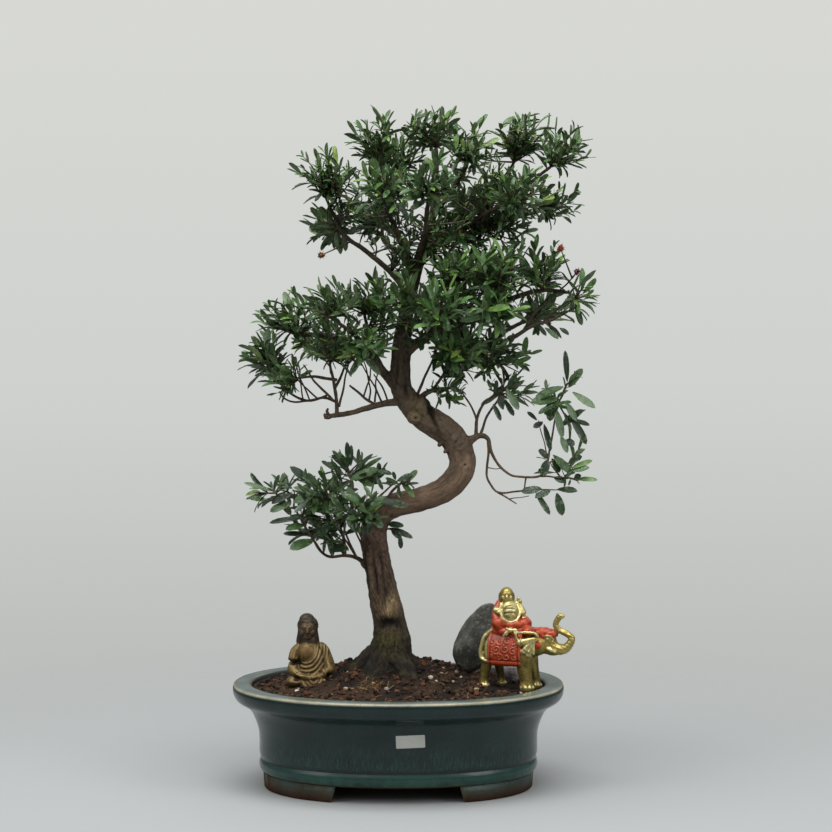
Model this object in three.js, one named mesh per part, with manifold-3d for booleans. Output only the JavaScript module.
// A brush cherry bonsai in an oval glazed pot, with two small figures and two stones on its soil.
// Sizes are in millimetres, +Z is up and -Y faces the viewer.
// The origin is on the table, under the middle of the pot.
import * as THREE from 'three'
import { mergeVertices } from 'three/addons/utils/BufferGeometryUtils.js'
import Module from 'manifold-3d'

const wasm = await Module()
wasm.setup()

const GAP = 0.3
const SEED = 2542
const TURN = Math.PI * 2
const UP = new THREE.Vector3(0, 0, 1)

const POT = {
  depthInset: 35,
  bodyBottom: 14.2,
  floorTop: 20,
  footTop: 16,
  footHalfX: 121.6,
  footWidth: 13,
  footFlare: 1.2,
  footCutHalf: 54,
  drainRadius: 7,
  drainX: 52,
  sides: 30,
  ovalPower: 2.15,
}

// The outside of the pot from the bottom edge of its body over the rim: half length in x, height.
const POT_OUTSIDE = [
  [122.4, POT.bodyBottom],
  [126.2, 20.4],
  [124.6, 28],
  [126.2, 47],
  [130, 62.7],
  [135, 72],
  [144.5, 77.6],
  [149.2, 82.6],
  [150, 89.6],
  [148.2, 93.8],
]

// The inside of the pot from its floor up past the inner edge of the rim.
const POT_INSIDE = [
  [108, POT.floorTop],
  [115.5, 30],
  [120.5, 72],
  [131, 87],
  [132.7, 94.3],
]

const SOIL = {
  edgeZ: 90,
  crown: 2,
  moundHeight: 17.3,
  moundX: -5,
  moundY: 15,
  moundHalfX: 66,
  moundHalfY: 62,
  moundPower: 3.5,
  lump: 1.1,
  edgeHalfX: 131.7,
  rings: 4,
}

const LABEL = { left: -1.4, right: 23.8, bottom: 50.8, top: 63.1, thickness: 0.6 }
const DRAIN_MESH = { half: 11, thickness: 1.2, hole: 6, pitch: 9 }

// The trunk from the root crown, round the S bend, to the top of the leader: x, y, z, radius.
const TRUNK = [
  [-11, 2, 58, 12],
  [-11, 1, 80, 21],
  [-11, 0, 103, 24],
  [-8, 0, 118, 20],
  [-6, 0, 132, 16.8],
  [-9, 0, 150, 14.8],
  [-13, 0, 168, 14.4],
  [-17, 0, 191, 12.2],
  [-21, 0, 215, 11.7],
  [-22, 0, 232, 11.9],
  [-16, -2, 247, 11.4],
  [-2, -4, 255, 10.8],
  [20, -5, 260, 10.8],
  [42, -4, 269, 11.3],
  [56, -2, 285, 11.9],
  [57, 0, 300, 11.9],
  [49, 2, 316, 12.1],
  [36, 4, 326, 12.6],
  [23, 4, 334, 12.2],
  [11, 3, 346, 11],
  [3, 2, 360, 9.4],
  [2, 0, 378, 8.8],
  [3, 0, 399, 8.1],
  [7, 2, 426, 6.8],
  [13, 4, 453, 5.9],
  [20, 4, 480, 4.9],
  [30, 4, 511, 3.8],
  [34, 2, 542, 2.9],
  [34, 0, 576, 1.9],
]

// Surface roots, and the healed stub on the outside of the first bend.
const ROOTS = [
  [[-19, -3, 121, 12], [-33, -5, 111, 10.5], [-48, -6, 98, 7]],
  [[-16, -10, 114, 12], [-24, -24, 101, 9], [-32, -40, 89, 6]],
  [[-2, -10, 114, 12], [9, -23, 101, 9], [19, -38, 89, 6]],
  [[1, 3, 118, 12], [16, 6, 107, 10], [37, 9, 94, 6.5]],
  [[-8, 10, 114, 12], [-5, 26, 103, 9], [0, 42, 92, 6]],
  [[-12, -3, 244, 9], [-22, -4, 253, 8], [-26, -5, 257, 6.5]],
]

// Every limb and twig above about 1 mm thick, from the wood that carries it outward.
const LIMBS = [
  [[-29, -2, 200, 2.9], [-37, -4, 207, 2.2], [-48, -6, 209, 1.8], [-64, -8, 209, 1.6],
    [-76, -8, 223, 1.4], [-94, -8, 254, 1.1]],
  [[-48, -6, 209, 1.7], [-50, -12, 229, 1.4], [-57, -22, 250, 1.3], [-62, -28, 262, 1]],
  [[-24, -4, 212, 2.6], [-37, -8, 237, 1.9], [-42, -6, 258, 1.5], [-43, -5, 272, 1.2]],
  [[-21, -6, 218, 2.6], [-29, -28, 236, 1.6], [-32, -40, 245, 1.2]],
  [[-16, -6, 244, 2.4], [-7, -15, 266, 1.4], [3, -20, 276, 1.1]],
  [[56, 0, 308, 6.3], [68, -1, 315, 3.4], [76, -2, 319, 2.7], [81, -2, 314, 2.2], [84, -3, 303, 1.8],
    [91, -4, 290, 1.6], [102, -5, 282, 1.4], [115, -6, 280, 1.4], [128, -7, 282, 1.3], [142, -6, 294, 1.2],
    [146, -6, 322, 1]],
  [[81, -2, 312, 1.6], [80, -2, 295, 1.4], [80, -1, 281, 1.4], [86, 2, 269, 1.3], [98, 5, 262, 1.2],
    [114, 6, 264, 1]],
  [[70, -1, 316, 1.8], [71, -1, 332, 1.4], [77, 0, 346, 1.2], [86, 2, 354, 1.1]],
  [[8, 0, 349, 3.6], [-14, -2, 346, 2.9], [-30, -4, 342, 2.6], [-43, -6, 338, 2.4], [-61, -9, 335, 2.1]],
  [[-55, -8, 336, 2], [-55, -8, 350, 1.6], [-58, -8, 366, 1.4], [-61, -10, 380, 1.1]],
  [[-55, -8, 348, 1.4], [-68, -6, 352, 1.2], [-84, -4, 349, 1.2], [-104, -2, 360, 1]],
  [[3, 0, 357, 5.4], [-12, 2, 373, 4.1], [-24, 4, 385, 3.4], [-42, 0, 399, 2.7], [-66, -6, 408, 2.2],
    [-90, -8, 408, 1.6]],
  [[-22, 4, 383, 2.7], [-33, 20, 397, 2.2], [-49, 38, 403, 1.8], [-67, 50, 400, 1.3]],
  [[-12, 2, 373, 2.7], [-23, -20, 393, 2.2], [-42, -42, 412, 1.8], [-58, -50, 424, 1.3]],
  [[-22, 4, 383, 2.3], [-26, -8, 408, 1.8], [-30, -10, 427, 1.3]],
  [[10, 3, 444, 3.6], [-6, 0, 464, 2.7], [-30, -4, 484, 2.2], [-50, -6, 500, 1.8], [-64, -10, 530, 1.3]],
  [[16, 4, 463, 3.2], [2, -8, 493, 2.7], [-11, -20, 524, 2.1], [-19, -25, 554, 1.4]],
  [[15, 4, 460, 3.1], [2, 24, 480, 2.5], [-15, 44, 498, 1.8], [-8, 44, 540, 1.3]],
  [[19, 3, 475, 3.1], [24, -28, 497, 2.5], [26, -55, 520, 2], [28, -68, 533, 1.4]],
  [[-4, -15, 507, 2], [-9, -38, 520, 1.7], [-12, -52, 530, 1.3]],
  [[20, 4, 478, 3.8], [46, 0, 495, 3], [78, -6, 515, 2.4], [104, -10, 533, 1.9], [136, -13, 558, 1.3]],
  [[78, -6, 515, 2.1], [91, 4, 540, 1.8], [104, 5, 563, 1.3]],
  [[46, 0, 495, 2.6], [78, 22, 504, 2.2], [111, 34, 515, 1.8], [130, 35, 520, 1.3]],
  [[25, 4, 495, 2.9], [42, 30, 510, 2.3], [60, 50, 524, 1.7], [74, 50, 543, 1.3]],
  [[46, 0, 495, 2.5], [74, -28, 514, 2.1], [100, -45, 526, 1.4]],
  [[30, 4, 513, 2.7], [51, -14, 541, 2.1], [62, -30, 562, 1.4]],
  [[3, 0, 391, 5], [24, -4, 405, 4.2], [48, -8, 417, 3.7], [72, -10, 423, 3.1], [96, -10, 438, 2.5],
    [127, -12, 448, 2], [152, -16, 446, 1.4]],
  [[48, -8, 417, 2.9], [72, 6, 399, 2.4], [95, 12, 410, 2.1], [122, 24, 424, 1.5]],
  [[22, -4, 404, 3.1], [35, -35, 418, 2.3], [40, -56, 428, 1.5]],
  [[72, -10, 423, 2.5], [80, -38, 432, 2], [86, -52, 446, 1.4]],
  [[48, -8, 417, 2.7], [51, -18, 440, 2.1], [53, -28, 457, 1.4]],
  [[23, -4, 404, 3], [38, 28, 416, 2.3], [49, 52, 428, 1.5]],
  [[12, 3, 345, 3.4], [29, -2, 358, 2.1], [44, -7, 360, 1.4]],
  [[72, 6, 399, 2], [85, 8, 380, 1.5], [94, 9, 364, 1.2]],
]

// Leafy sprays, each in the room of an oval ball: centre x, y, z and reach along x, y, z.
const SPRAYS = {
  top: [
    [-65, -18, 553, 30, 32, 26],
    [-62, 12, 506, 27, 32, 24],
    [-21, -22, 581, 31, 32, 30],
    [-12, -62, 536, 32, 31, 30],
    [-24, 52, 511, 34, 34, 30],
    [29, 8, 592, 34, 38, 28],
    [28, -80, 538, 34, 29, 31],
    [65, -38, 571, 31, 32, 29],
    [66, 58, 529, 38, 34, 31],
    [111, 4, 584, 28, 32, 31],
    [149, -14, 571, 29, 29, 26],
    [107, -54, 531, 32, 31, 28],
    [141, 36, 525, 30, 29, 26],
    [1, 40, 567, 31, 32, 29],
  ],
  left: [
    [-98, -10, 423, 30, 31, 27],
    [-122, 2, 389, 22, 25, 24],
    [-61, -50, 434, 32, 29, 26],
    [-74, 48, 398, 34, 29, 24],
    [-29, -6, 438, 30, 31, 26],
    [-26, -48, 398, 31, 27, 23],
    [-100, -22, 368, 23, 25, 22],
    [-60, -16, 389, 24, 22, 19],
  ],
  right: [
    [51, -34, 464, 30, 31, 25],
    [90, -55, 468, 32, 31, 26],
    [131, -8, 468, 31, 32, 25],
    [160, -18, 441, 23, 25, 24],
    [129, 36, 428, 32, 31, 24],
    [84, -62, 429, 32, 27, 26],
    [37, -68, 430, 30, 27, 28],
    [57, -38, 394, 32, 29, 24],
    [94, 14, 392, 31, 29, 24],
    [49, 62, 432, 34, 29, 30],
    [2, -50, 446, 25, 23, 23],
  ],
  hang: [
    [48, -8, 357, 27, 23, 18],
    [99, 8, 356, 25, 23, 20],
  ],
  low: [
    [-110, -8, 265, 27, 23, 20],
    [-73, -36, 266, 27, 25, 25],
    [-43, -6, 283, 32, 29, 25],
    [-32, -52, 253, 25, 22, 22],
    [-75, 8, 229, 25, 23, 19],
    [6, -24, 277, 18, 18, 14],
  ],
  arm: [
    [145, -6, 348, 27, 23, 40],
    [148, -2, 286, 28, 25, 29],
  ],
}

// Leaves are longer on the lower sprays than in the crown.
const LOWER_GROUPS = ['hang', 'low', 'arm']
const LEAF = {
  crown: { length: 23, width: 7.2 },
  lower: { length: 27, width: 8.6 },
  arch: 0.04,
  ridge: 0.09,
  droop: 0.1,
  shoulder: 0.3,
  shoulderWidth: 0.94,
  taper: 0.7,
  taperWidth: 0.78,
  sink: 0.2,
  seat: 0.2,
  bend: 1.3,
  shortest: 0.86,
  lengthRange: 0.3,
  spreadStep: 0.16,
  swayStep: 0.2,
  steep: 0.85,
  apart: 2.2,
}

const SHOOT = {
  stem: 1.2,
  base: 1,
  tip: 0.8,
  share: 0.45,
  sideShoots: 2,
  clearance: 0.6,
  tries: 14,
  budsTried: 60,
  hubShare: 0.25,
  offWood: 2.5,
  shortestStem: 4,
  shortestShoot: 7,
  loose: 0.15,
  lift: 0.5,
  sideStart: 0.96,
  sideStep: 0.16,
  pairAt: 0.35,
  endSpread: 0.6,
  pairSpread: 0.95,
}

const paint = (colour, roughness, metalness = 0) =>
  new THREE.MeshStandardMaterial({ color: colour, roughness, metalness, flatShading: true })

const MATERIAL = {
  glaze: paint('#2d4a47', 0.3),
  soil: paint('#3d2c25', 0.95),
  bark: paint('#54473c', 0.9),
  leaf: paint('#3b5f34', 0.5),
  stone: paint('#555653', 0.9),
  bronze: paint('#8a6c40', 0.55),
  gold: paint('#b49a48', 0.4),
  label: paint('#e6e5df', 0.7),
  plastic: paint('#26272a', 0.6),
}

// Random numbers from 0 to 1 that are the same on every run.
function seeded(seed) {
  let state = seed >>> 0
  return () => {
    state = (state + 0x6d2b79f5) >>> 0
    let mixed = Math.imul(state ^ (state >>> 15), 1 | state)
    mixed = (mixed + Math.imul(mixed ^ (mixed >>> 7), 61 | mixed)) ^ mixed
    return ((mixed ^ (mixed >>> 14)) >>> 0) / 4294967296
  }
}

function vector([x, y, z]) {
  return new THREE.Vector3(x, y, z)
}

// A closed solid from corner points and the triangles between them.
function solidOf(corners, triangles) {
  return new wasm.Manifold(new wasm.Mesh({
    numProp: 3,
    vertProperties: new Float32Array(corners.flatMap((corner) => [corner.x, corner.y, corner.z])),
    triVerts: new Uint32Array(triangles.flat()),
  }))
}

// A closed solid from one of the library's shapes, after it has been placed.
function solidFrom(geometry, matrix = new THREE.Matrix4()) {
  const bare = geometry.clone().applyMatrix4(matrix)
  bare.deleteAttribute('normal')
  bare.deleteAttribute('uv')
  const merged = mergeVertices(bare, 1e-4)
  return new wasm.Manifold(new wasm.Mesh({
    numProp: 3,
    vertProperties: new Float32Array(merged.attributes.position.array),
    triVerts: new Uint32Array(merged.index.array),
  }))
}

function joined(solids) {
  return solids.reduce((sum, solid) => sum.add(solid))
}

function largestBody(solid) {
  return solid.decompose().sort((a, b) => b.volume() - a.volume())[0]
}

function meshOf(name, solid, material) {
  const { vertProperties, triVerts } = solid.getMesh()
  const geometry = new THREE.BufferGeometry()
  geometry.setAttribute('position', new THREE.BufferAttribute(new Float32Array(vertProperties), 3))
  geometry.setIndex(new THREE.BufferAttribute(new Uint32Array(triVerts), 1))
  geometry.computeVertexNormals()
  const mesh = new THREE.Mesh(geometry, material)
  mesh.name = name
  return mesh
}

// Rings of corners joined into a skin, with a fan of triangles over each end.
function skin(rings, firstMiddle, lastMiddle) {
  const sides = rings[0].length
  const corners = [...rings.flat(), firstMiddle, lastMiddle]
  const triangles = []
  for (let ring = 0; ring + 1 < rings.length; ring++) {
    for (let side = 0; side < sides; side++) {
      const next = (side + 1) % sides
      const low = ring * sides
      const high = low + sides
      triangles.push([low + side, low + next, high + next])
      triangles.push([low + side, high + next, high + side])
    }
  }
  const top = (rings.length - 1) * sides
  for (let side = 0; side < sides; side++) {
    const next = (side + 1) % sides
    triangles.push([corners.length - 2, next, side])
    triangles.push([corners.length - 1, top + side, top + next])
  }
  return solidOf(corners, triangles)
}

function ball([x, y, z], [rx, ry, rz], { lean = 0, around = 8, rows = 6 } = {}) {
  const place = new THREE.Matrix4().makeRotationY(lean).setPosition(x, y, z)
  const size = new THREE.Matrix4().makeScale(rx, ry, rz)
  const upright = new THREE.Matrix4().makeRotationX(Math.PI / 2)
  return solidFrom(new THREE.SphereGeometry(1, around, rows), place.multiply(size).multiply(upright))
}

function block([x0, x1], [y0, y1], [z0, z1]) {
  const middle = new THREE.Matrix4().makeTranslation((x0 + x1) / 2, (y0 + y1) / 2, (z0 + z1) / 2)
  return solidFrom(new THREE.BoxGeometry(x1 - x0, y1 - y0, z1 - z0), middle)
}

// A round limb along points of x, y, z and radius, with domed ends.
function limb(points, { sides, steps, grow = 0, ridge = 0 }) {
  const curve = new THREE.CatmullRomCurve3(points.map(vector), false, 'centripetal')
  const frames = curve.computeFrenetFrames(steps, false)
  const last = points.length - 1
  const rings = []
  for (let step = 0; step <= steps; step++) {
    const along = curve.getUtoTmapping(step / steps) * last
    const row = Math.min(Math.floor(along), last - 1)
    const radius = THREE.MathUtils.lerp(points[row][3], points[row + 1][3], along - row) + grow
    const middle = curve.getPointAt(step / steps)
    rings.push(Array.from({ length: sides }, (_, side) => {
      const turn = side / sides * TURN
      const swell = radius * (1 + ridge * Math.sin(turn * 3 + step * 0.7) * Math.cos(turn * 5 - step * 0.4))
      return middle.clone()
        .addScaledVector(frames.normals[step], Math.cos(turn) * swell)
        .addScaledVector(frames.binormals[step], Math.sin(turn) * swell)
    }))
  }
  const dome = (step, sign) => curve.getPointAt(step / steps)
    .addScaledVector(frames.tangents[step], sign * (points[step ? last : 0][3] * 0.4 + grow))
  return skin(rings, dome(0, -1), dome(steps, 1))
}

// A corner of the pot's oval plan: its half depth is a fixed amount less than its half length.
function ovalCorner(halfX, z, turn) {
  const halfY = halfX - POT.depthInset
  const across = Math.cos(turn)
  const deep = Math.sin(turn)
  const round = 2 / POT.ovalPower
  return new THREE.Vector3(
    halfX * Math.sign(across) * Math.abs(across) ** round,
    halfY * Math.sign(deep) * Math.abs(deep) ** round,
    z,
  )
}

function ovalLoft(profile, grow = 0) {
  const rings = profile.map(([halfX, z]) => Array.from(
    { length: POT.sides },
    (_, side) => ovalCorner(halfX + grow, z, side / POT.sides * TURN),
  ))
  const middle = (ring) => new THREE.Vector3(0, 0, ring[0].z)
  return skin(rings, middle(rings[0]), middle(rings.at(-1)))
}

// Two C-shaped end feet: an oval ring with a gap at the front and the back.
function makeFeet() {
  const { footHalfX, footTop, footCutHalf } = POT
  const inside = footHalfX - POT.footWidth
  return ovalLoft([[footHalfX, 0], [footHalfX + POT.footFlare, footTop]])
    .subtract(ovalLoft([[inside, -1], [inside, footTop + 1]]))
    .subtract(block([-footCutHalf, footCutHalf], [-footHalfX, footHalfX], [-1, footTop + 1]))
}

function drainHole(x) {
  const geometry = new THREE.CylinderGeometry(POT.drainRadius, POT.drainRadius, 30, 12)
  const place = new THREE.Matrix4().makeRotationX(Math.PI / 2).setPosition(x, 0, POT.floorTop)
  return solidFrom(geometry, place)
}

function makePot() {
  return ovalLoft(POT_OUTSIDE)
    .add(makeFeet())
    .subtract(ovalLoft(POT_INSIDE))
    .subtract(drainHole(-POT.drainX))
    .subtract(drainHole(POT.drainX))
}

function soilHeight(x, y, share) {
  const across = Math.abs((x - SOIL.moundX) / SOIL.moundHalfX) ** SOIL.moundPower
  const deep = Math.abs((y - SOIL.moundY) / SOIL.moundHalfY) ** SOIL.moundPower
  const wander = [1.3 * Math.sin(y * 0.23), 0.8 * Math.sin(x * 0.19)]
  const lumps = Math.sin(x * 0.31 + wander[0]) * Math.cos(y * 0.37 - wander[1])
  return SOIL.edgeZ + SOIL.crown * (1 - share ** 2) + SOIL.moundHeight * Math.exp(-across - deep)
    + SOIL.lump * lumps * Math.min(1, (1 - share) * 5)
}

// Soil fills the pot to just under its rim and rises to a mound round the root crown.
function makeSoil(hollows) {
  const wall = POT_INSIDE.filter(([, z]) => z < SOIL.edgeZ)
  const rings = wall.map(([halfX, z], row) => Array.from(
    { length: POT.sides },
    (_, side) => ovalCorner(halfX - GAP, row ? z : z + GAP, side / POT.sides * TURN),
  ))
  for (let ring = 0; ring < SOIL.rings; ring++) {
    const share = 1 - ring / SOIL.rings
    rings.push(Array.from({ length: POT.sides }, (_, side) => {
      const edge = ovalCorner(SOIL.edgeHalfX - GAP, 0, side / POT.sides * TURN).multiplyScalar(share)
      return new THREE.Vector3(edge.x, edge.y, soilHeight(edge.x, edge.y, share))
    }))
  }
  const bottom = new THREE.Vector3(0, 0, rings[0][0].z)
  const top = new THREE.Vector3(0, 0, soilHeight(0, 0, 0))
  return hollows.reduce((left, hollow) => left.subtract(hollow), skin(rings, bottom, top))
}

// A square of plastic mesh that lies over a drain hole, under the soil.
function makeDrainMesh(x, grow = 0) {
  const { half, thickness, hole, pitch } = DRAIN_MESH
  const bottom = POT.floorTop + GAP
  const height = [bottom - grow, bottom + thickness + grow]
  const plate = block([x - half - grow, x + half + grow], [-half - grow, half + grow], height)
  if (grow) return plate
  const rows = [-pitch / 2, pitch / 2]
  const holes = rows.flatMap((dx) => rows.map((dy) => block(
    [x + dx - hole / 2, x + dx + hole / 2],
    [dy - hole / 2, dy + hole / 2],
    [bottom - 1, bottom + thickness + 1],
  )))
  return holes.reduce((left, cut) => left.subtract(cut), plate)
}

// The bare paper label follows the pot's front, a hair in front of the glaze.
function makeLabel() {
  const window = block([LABEL.left, LABEL.right], [-POT.footHalfX, 0], [LABEL.bottom, LABEL.top])
  return ovalLoft(POT_OUTSIDE, GAP + LABEL.thickness).subtract(ovalLoft(POT_OUTSIDE, GAP)).intersect(window)
}

// Trunk, surface roots and branches are one piece of wood.
function makeWood(grow = 0) {
  const trunk = limb(TRUNK, { sides: 8, steps: 22, grow, ridge: 0.05 })
  const roots = ROOTS.map((points) => limb(points, { sides: 5, steps: 2, grow }))
  const branches = LIMBS.map((points) => limb(points, {
    sides: points[0][3] > 2.8 ? 4 : 3,
    steps: points.length - 1,
    grow,
  }))
  return joined([trunk, ...roots, ...branches])
}

// The shortest distance between two straight stretches.
function stretchDistance(a0, a1, b0, b1) {
  const a = a1.clone().sub(a0)
  const b = b1.clone().sub(b0)
  const between = a0.clone().sub(b0)
  const [aa, ab, bb, ac, bc] = [a.dot(a), a.dot(b), b.dot(b), a.dot(between), b.dot(between)]
  const share = (part, whole) => (whole > 1e-9 ? Math.min(1, Math.max(0, part / whole)) : 0)
  const firstOnA = share(ab * bc - ac * bb, aa * bb - ab * ab)
  const onB = share(ab * firstOnA + bc, bb)
  const onA = share(ab * onB - ac, aa)
  return a0.clone().addScaledVector(a, onA).distanceTo(b0.clone().addScaledVector(b, onB))
}

function isClear(from, to, radius, others) {
  return others.every((other) => stretchDistance(from, to, other.from, other.to) > radius + other.radius)
}

function stretchesOf(points) {
  return points.slice(1).map((end, row) => ({
    from: vector(points[row]),
    to: vector(end),
    radius: Math.max(points[row][3], end[3]) + SHOOT.clearance,
  }))
}

const WOOD_STRETCHES = [TRUNK, ...ROOTS, ...LIMBS].flatMap(stretchesOf)

// Places on a limb where a spray may start, three to each stretch.
function budsOf(points) {
  return points.slice(1).flatMap((end, row) => [1 / 3, 2 / 3, 1].map((share) => ({
    at: vector(points[row]).lerp(vector(end), share),
    radius: THREE.MathUtils.lerp(points[row][3], end[3], share),
  })))
}

const BUDS = LIMBS.flatMap(budsOf)

// One leaf: a pointed oval blade that arches up, falls to its tip and has a raised middle.
function leafBlade(base, along, up, length, width) {
  const across = new THREE.Vector3().crossVectors(up, along).normalize()
  const lift = new THREE.Vector3().crossVectors(along, across).normalize()
  const corner = (share, side, height) => base.clone()
    .addScaledVector(along, share * length)
    .addScaledVector(across, side * width / 2)
    .addScaledVector(lift, height * length)
  const corners = [
    corner(0, 0, 0),
    corner(LEAF.shoulder, -LEAF.shoulderWidth, LEAF.arch),
    corner(LEAF.taper, -LEAF.taperWidth, -LEAF.arch * LEAF.sink),
    corner(1, 0, -LEAF.droop),
    corner(LEAF.taper, LEAF.taperWidth, -LEAF.arch * LEAF.sink),
    corner(LEAF.shoulder, LEAF.shoulderWidth, LEAF.arch),
    corner(0.5, 0, LEAF.ridge),
  ]
  const top = [[0, 1, 6], [1, 2, 6], [2, 3, 6], [3, 4, 6], [4, 5, 6], [5, 0, 6]]
  const underside = [[0, 5, 1], [1, 5, 2], [2, 5, 4], [2, 4, 3]]
  return solidOf(corners, [...top, ...underside])
}

// The bud nearest to a spray with a free way to the spray's hub.
function findBud(centre, hubFor, taken) {
  const buds = BUDS.toSorted((a, b) => a.at.distanceTo(centre) - b.at.distanceTo(centre))
  const bud = buds.slice(0, SHOOT.budsTried).find(({ at, radius }) => {
    const hub = hubFor(at)
    const length = hub.distanceTo(at)
    const offWood = at.clone().lerp(hub, (radius + SHOOT.offWood) / length)
    return length > radius + SHOOT.shortestStem
      && isClear(offWood, hub, SHOOT.base, WOOD_STRETCHES)
      && isClear(at, hub, SHOOT.stem, taken)
  })
  if (!bud) throw new Error(`no free bud near ${centre.toArray()}`)
  return bud.at
}

// The pieces of one spray as it grows, the stretches that it takes up, and those of its neighbours.
function startSpray(index, row, leaf, taken) {
  return {
    random: seeded(SEED + index * 97),
    centre: vector(row),
    reach: vector(row.slice(3)),
    others: [...WOOD_STRETCHES, ...taken],
    leaf,
    pieces: [],
    own: [],
    blades: [],
  }
}

function addLeaf(spray, joint, aim, side, open) {
  const { random, leaf, others, blades } = spray
  for (let attempt = 0; attempt < SHOOT.tries; attempt++) {
    const spread = open + (random() - 0.5) * LEAF.spreadStep * attempt
    const sway = (random() - 0.5) * LEAF.swayStep * attempt
    const length = leaf.length * (LEAF.shortest + random() * LEAF.lengthRange)
    const along = aim.clone().multiplyScalar(Math.cos(spread)).addScaledVector(side, Math.sin(spread))
    along.addScaledVector(new THREE.Vector3().crossVectors(aim, side), sway).normalize()
    const up = Math.abs(along.z) > LEAF.steep ? side.clone().negate() : UP
    const base = joint.clone().addScaledVector(side, LEAF.seat)
    const tip = base.clone().addScaledVector(along, length)
    const shoulder = base.clone().lerp(tip, 0.2)
    const apart = isClear(base.clone().lerp(tip, LEAF.shoulder), tip, LEAF.apart, blades)
    if (apart && isClear(shoulder, tip, leaf.width / 2 + LEAF.bend, others)) {
      spray.pieces.push(leafBlade(base, along, up, length, leaf.width * length / leaf.length))
      blades.push({ from: shoulder, to: tip, radius: 1 })
      spray.own.push({ from: base, to: tip, radius: leaf.width / 2 + LEAF.bend })
      return
    }
  }
}

function addPair(spray, joint, aim, side, open) {
  addLeaf(spray, joint, aim, side, open)
  addLeaf(spray, joint, aim, side.clone().negate(), open)
}

function finishSpray(spray, taken) {
  taken.push(...spray.own.map((stretch) => ({ ...stretch, radius: stretch.radius + SHOOT.clearance })))
  return joined(spray.pieces)
}

// One spray: a stem with a leader and two side shoots, with leaves in opposite pairs.
function makeSpray(index, row, leaf, taken) {
  const spray = startSpray(index, row, leaf, taken)
  const { centre, reach, random, others, own } = spray
  const hubFor = (at) => centre.clone().lerp(at, SHOOT.hubShare)
  const root = findBud(centre, hubFor, taken)
  const hub = hubFor(root)

  const shootEnd = (from, aim) => {
    for (let attempt = 0; attempt < SHOOT.tries; attempt++) {
      const loose = new THREE.Vector3(random() - 0.5, random() - 0.5, random() - 0.5)
      const way = aim.clone().addScaledVector(loose, attempt * SHOOT.loose).normalize().multiply(reach)
      const end = centre.clone().addScaledVector(way, SHOOT.share)
      const start = from.clone().lerp(end, 0.15)
      const longEnough = from.distanceTo(end) > SHOOT.shortestShoot
      if (longEnough && isClear(start, end, SHOOT.base, [...others, ...own.slice(1)])) return end
    }
    return null
  }

  const outward = centre.clone().sub(root).normalize().addScaledVector(UP, SHOOT.lift).normalize()
  const leaderEnd = shootEnd(hub, outward) ?? hub.clone().lerp(centre, 1.4)
  spray.pieces.push(limb(
    [[...root.toArray(), SHOOT.stem], [...hub.toArray(), SHOOT.base], [...leaderEnd.toArray(), SHOOT.tip]],
    { sides: 3, steps: 2 },
  ))
  own.push({ from: root, to: hub, radius: SHOOT.stem }, { from: hub, to: leaderEnd, radius: SHOOT.base })
  const shoots = [{ from: hub, end: leaderEnd }]
  const spin = random() * TURN
  for (let shoot = 0; shoot < SHOOT.sideShoots; shoot++) {
    const from = root.clone().lerp(hub, SHOOT.sideStart - shoot * SHOOT.sideStep)
    const turn = spin + shoot * TURN / SHOOT.sideShoots
    const aim = new THREE.Vector3(Math.cos(turn), Math.sin(turn), shoot ? 0.1 : -0.35).normalize()
    const end = shootEnd(from, aim.addScaledVector(outward, -0.15))
    if (!end) continue
    spray.pieces.push(limb(
      [[...from.toArray(), SHOOT.base], [...end.toArray(), SHOOT.tip]],
      { sides: 3, steps: 1 },
    ))
    own.push({ from, to: end, radius: SHOOT.base })
    shoots.push({ from, end })
  }
  shoots.forEach(({ from, end }, shoot) => {
    const heading = end.clone().sub(from).normalize()
    const flat = new THREE.Vector3().crossVectors(heading, UP).normalize()
    const steep = new THREE.Vector3().crossVectors(flat, heading).normalize()
    addPair(spray, end.clone().addScaledVector(heading, -0.5), heading, flat, SHOOT.endSpread)
    if (!shoot) addPair(spray, from.clone().lerp(end, SHOOT.pairAt), heading, steep, SHOOT.pairSpread)
  })
  return finishSpray(spray, taken)
}

// A water-worn stone: a ball with low broad facets, leaning to the right.
function makeStone({ centre, radii, lean, phase }, grow = 0) {
  const shape = new THREE.SphereGeometry(1, 10, 6).rotateX(Math.PI / 2)
  const corners = shape.attributes.position
  for (let row = 0; row < corners.count; row++) {
    const corner = new THREE.Vector3().fromBufferAttribute(corners, row)
    const lumps = 0.06 * Math.sin(4 * corner.x + phase) * Math.cos(5 * corner.z - phase)
    const swell = 1 + lumps + 0.05 * corner.z * corner.x
    corners.setXYZ(row, ...corner.multiplyScalar(swell).toArray())
  }
  const place = new THREE.Matrix4().makeRotationY(lean).setPosition(...centre)
  return solidFrom(shape, place.scale(new THREE.Vector3(...radii.map((radius) => radius + grow))))
}

const STONE = { centre: [75, 27, 129], radii: [20, 12, 35], lean: 0.5, phase: 0.6 }
const SMALL_STONE = { centre: [102, 14, 96.5], radii: [8.5, 6.5, 9], lean: 0.2, phase: 2.4 }

function mirrored(points) {
  return points.map(([x, y, z, ...rest]) => [-x, y, z, ...rest])
}

// A seated robed figure with its hands in its lap, cast in one piece.
const FIGURE = {
  at: [-78, -12, 92],
  lap: [0, -2, 7],
  lapRadii: [21, 15, 8.5],
  torso: [[0, -1, 6, 12.5], [0, 0, 18, 12.8], [0, 0.5, 32, 11.5], [0, 0, 39, 7.5], [0, -0.5, 44, 4.6]],
}

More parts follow.
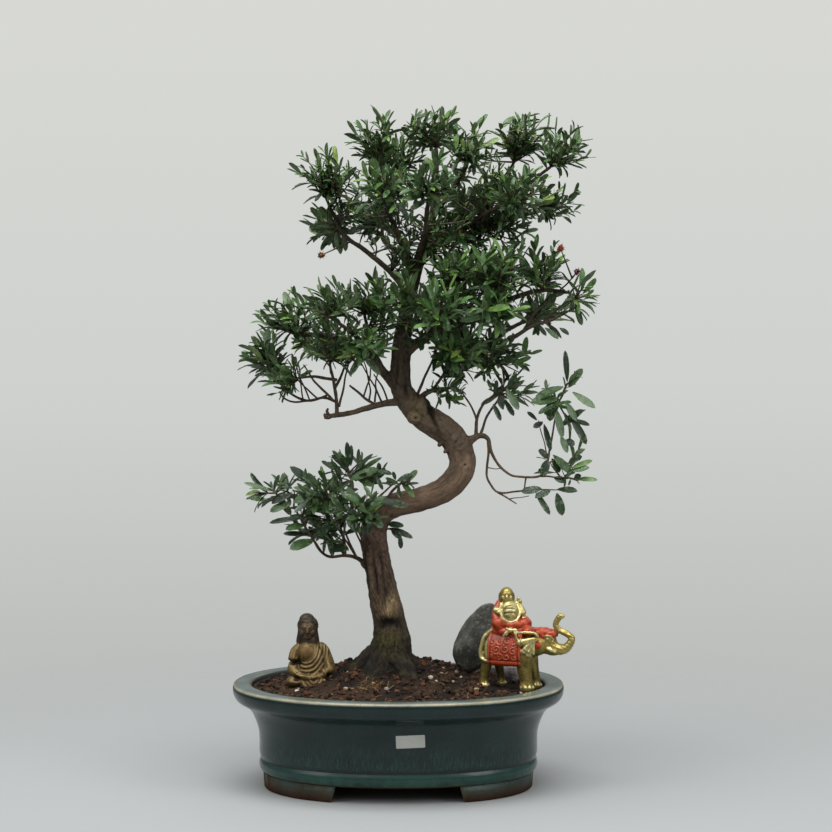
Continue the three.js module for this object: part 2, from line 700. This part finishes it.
function makeFigure() {
  const arm = [[12, 0, 35, 5], [17.5, -2, 22, 5.4], [4, -14, 12, 3.6]]
  const shawl = [[-9, -5, 37, 2], [-2, -10.4, 27, 2], [7, -11, 21, 1.8]]
  const hem = [[-12, -11, 11, 1.8], [0, -15.4, 7.5, 2], [12, -11, 11, 1.8]]
  return joined([
    ball(FIGURE.lap, FIGURE.lapRadii, { around: 10, rows: 4 }),
    limb(FIGURE.torso, { sides: 8, steps: 3 }),
    limb(arm, { sides: 5, steps: 2 }),
    limb(mirrored(arm), { sides: 5, steps: 2 }),
    ball([0, -1, 53], [8.3, 8.6, 10.4], { around: 8, rows: 5 }),
    ball([0, 0.8, 56.5], [9.2, 9.2, 8.6], { around: 6, rows: 4 }),
    ball([0, 1, 64], [4.8, 4.8, 4.4], { around: 5, rows: 3 }),
    ball([-8.8, 0, 51], [1.6, 2.4, 5.4], { around: 4, rows: 3 }),
    ball([8.8, 0, 51], [1.6, 2.4, 5.4], { around: 4, rows: 3 }),
    ball([0, -9.2, 52], [1.3, 1.6, 2.6], { around: 4, rows: 3 }),
    limb(shawl, { sides: 3, steps: 2 }),
    limb(hem, { sides: 4, steps: 3 }),
  ])
}

// A raised-trunk elephant with a saddle cloth and a round rider who sits sideways, cast in one piece.
const ELEPHANT = {
  at: [97.2, -14, 91.7],
  yaw: -0.35,
  feet: [[20.8, -8], [26, 8], [-19.4, -8], [-6.6, 8]],
  hips: [[17, -6], [21, 6], [-17, -6], [-11, 6]],
  footRadius: 5.8,
  body: [
    [-24, 0, 33, 8], [-16, 0, 33, 13.2], [0, 0, 34, 14.2], [15, 0, 36, 12.8], [27, 0, 38.5, 9.6],
    [37, 0, 41, 9.4], [43, 0, 37, 6],
  ],
  trunk: [
    [38, 0, 37, 6.4], [48.3, 0, 35.7, 5.2], [56.1, 0, 36.9, 4.5], [61.7, 0, 42.6, 3.7], [62.4, 0, 47.3, 3.4],
    [57.5, 0, 50.8, 3.1], [50.4, 0, 53.8, 3], [46.4, 0, 58, 2.9], [48, 0, 63.4, 2.8], [51, 0, 67, 3.1],
  ],
}

function elephantLeg([hipX, hipY], [x, y]) {
  const { footRadius } = ELEPHANT
  return limb(
    [[hipX, hipY, 30, 7], [x, y, 9, footRadius - 0.8], [x, y, -1.4, footRadius]],
    { sides: 5, steps: 2 },
  )
}

function makeElephant() {
  const both = (make) => [make(-1), make(1)]
  const tusk = (side) => [[42, side * 5, 35, 2.2], [50, side * 7.6, 33, 1.6], [55, side * 7.4, 36, 0.9]]
  const tail = [[-17, -3, 46, 2.2], [-24.5, -5, 36, 2], [-25, -7, 27, 1.8], [-19, -11, 22, 2]]
  const cloth = ball([2.5, 0, 34], [19, 15.8, 17.6], { around: 8, rows: 4 })
    .intersect(block([-12.5, 17.5], [-20, 20], [19, 60]))
  return joined([
    limb(ELEPHANT.body, { sides: 8, steps: 5 }),
    ...ELEPHANT.feet.map((foot, leg) => elephantLeg(ELEPHANT.hips[leg], foot)),
    limb(ELEPHANT.trunk, { sides: 4, steps: 7 }),
    ball([44, 0, 31.5], [6.5, 4, 3.6], { around: 5, rows: 3 }),
    ball([33, 0, 49.5], [11.5, 7.4, 4.6], { around: 6, rows: 3 }),
    ...both((side) => limb(tusk(side), { sides: 3, steps: 2 })),
    ...both((side) => ball([22, side * 12, 39.5], [9, 2.4, 12.5], { lean: 0.25, around: 6, rows: 3 })),
    limb(tail, { sides: 3, steps: 2 }),
    cloth,
    ball([3, -1, 51.5], [19, 12.5, 8], { around: 6, rows: 4 }),
    limb([[1, -1, 55, 12.6], [1, -2, 66, 11], [1, 0, 74, 9], [0, 0, 79, 5]], { sides: 6, steps: 3 }),
    ball([1.5, -5.6, 65], [9.6, 8, 9], { around: 6, rows: 3 }),
    limb([[-9, 0, 74, 4], [-13.5, -3, 67, 4.4], [-8, -9, 59, 3.4]], { sides: 4, steps: 2 }),
    limb([[10, 0, 74, 4], [15.5, -3, 67, 4.4], [10, -9, 59, 3.4]], { sides: 4, steps: 2 }),
    ball([-0.5, -1, 83], [6.5, 6.5, 7.5], { around: 7, rows: 4 }),
    ball([12.5, 1, 78.5], [3.6, 3.6, 4.4], { around: 5, rows: 3 }),
    ball([-1, -13, 48.5], [5.4, 3, 2.8], { around: 4, rows: 3 }),
  ])
}

// A short foot stands in the soil, so its hollow there is cut from the same points, turned and moved.
function placedFoot([x, y]) {
  const turned = new THREE.Vector3(x, y, 0).applyAxisAngle(UP, ELEPHANT.yaw).add(vector(ELEPHANT.at))
  const radius = ELEPHANT.footRadius + 0.9
  return limb(
    [[turned.x, turned.y, turned.z - 1.7, radius], [turned.x, turned.y, turned.z + 14, radius]],
    { sides: 8, steps: 1 },
  )
}

function lapHollow() {
  const place = ([x, y, z, ...radius]) => [x + FIGURE.at[0], y + FIGURE.at[1], z + FIGURE.at[2], ...radius]
  const grown = FIGURE.lapRadii.map((radius) => radius + 0.6)
  return ball(place(FIGURE.lap), grown, { around: 10, rows: 4 })
    .add(limb(FIGURE.torso.map(place), { sides: 8, steps: 3, grow: 0.6 }))
}

const bonsai = new THREE.Group()
const grownWood = makeWood(GAP + 0.1)

bonsai.add(meshOf('pot', makePot(), MATERIAL.glaze))
bonsai.add(meshOf('soil', makeSoil([
  grownWood,
  makeDrainMesh(-POT.drainX, GAP),
  makeDrainMesh(POT.drainX, GAP),
  makeStone(STONE, GAP + 0.1),
  makeStone(SMALL_STONE, GAP + 0.1),
  lapHollow(),
  ...ELEPHANT.feet.map(placedFoot),
]), MATERIAL.soil))
bonsai.add(meshOf('wood', makeWood(), MATERIAL.bark))
bonsai.add(meshOf('label', makeLabel(), MATERIAL.label))
bonsai.add(meshOf('drain_mesh_left', makeDrainMesh(-POT.drainX), MATERIAL.plastic))
bonsai.add(meshOf('drain_mesh_right', makeDrainMesh(POT.drainX), MATERIAL.plastic))
bonsai.add(meshOf('stone', makeStone(STONE), MATERIAL.stone))
bonsai.add(meshOf('stone_small', makeStone(SMALL_STONE), MATERIAL.stone))

const figure = meshOf('seated_figure', makeFigure(), MATERIAL.bronze)
figure.position.set(...FIGURE.at)
bonsai.add(figure)

const elephant = meshOf('elephant_rider', makeElephant(), MATERIAL.gold)
elephant.position.set(...ELEPHANT.at)
elephant.rotation.z = ELEPHANT.yaw
bonsai.add(elephant)

const taken = []
let index = 0
for (const [group, rows] of Object.entries(SPRAYS)) {
  const leaf = LOWER_GROUPS.includes(group) ? LEAF.lower : LEAF.crown
  rows.forEach((row, number) => {
    const spray = makeSpray(index, row, leaf, taken).subtract(grownWood)
    bonsai.add(meshOf(`spray_${group}_${number + 1}`, largestBody(spray), MATERIAL.leaf))
    index += 1
  })
}

export default bonsai
